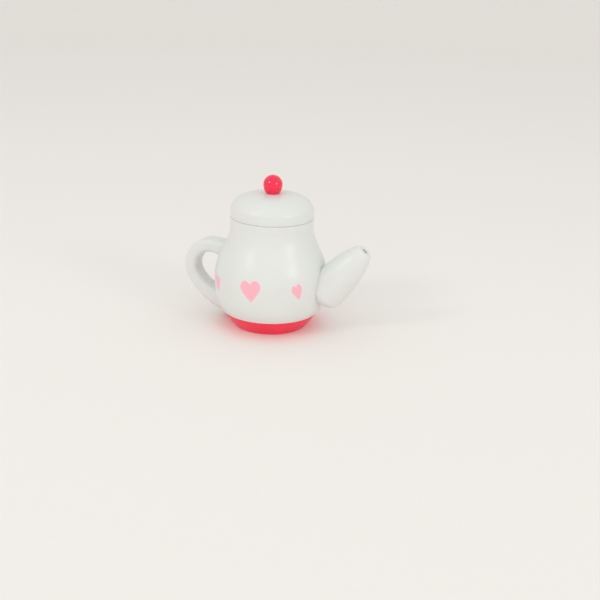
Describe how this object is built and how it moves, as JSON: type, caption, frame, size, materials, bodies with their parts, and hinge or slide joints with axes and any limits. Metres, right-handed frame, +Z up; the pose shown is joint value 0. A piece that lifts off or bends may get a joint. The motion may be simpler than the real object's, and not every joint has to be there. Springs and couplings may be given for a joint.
{
  "type": "toy teapot",
  "caption": "Turned wooden toy teapot with a lift-off lid, a ball knob, an upturned spout, a looped side handle and a tapered round base.",
  "frame": {"origin": "centre of the base's underside, on the surface that the teapot stands on", "axes": "+Z up along the axis that the pot, base and lid are turned about; +X towards the spout, -X towards the handle; the XZ plane is the plane of symmetry"},
  "size_m": [0.117, 0.068, 0.0918],
  "materials": {
    "white_lacquer": "satin lacquer over turned wood, with printed pink hearts on the pot",
    "red_lacquer": "satin lacquer over turned wood",
    "bare_wood": "unfinished dowel rod"
  },
  "bodies": {
    "teapot": {"pot": "white_lacquer", "base": "red_lacquer", "spout": "white_lacquer", "spout_dowel": "bare_wood", "handle": "white_lacquer", "handle_upper_dowel": "bare_wood", "handle_lower_dowel": "bare_wood"},
    "lid_with_knob": {"lid": "white_lacquer", "lid_knob": "red_lacquer", "knob_dowel": "bare_wood"}
  },
  "joints": [
    {"name": "lid_lift", "type": "slide", "parent": "teapot", "child": "lid_with_knob", "axis": [0, 0, 1], "range_m": [0, 0.06]}
  ]
}
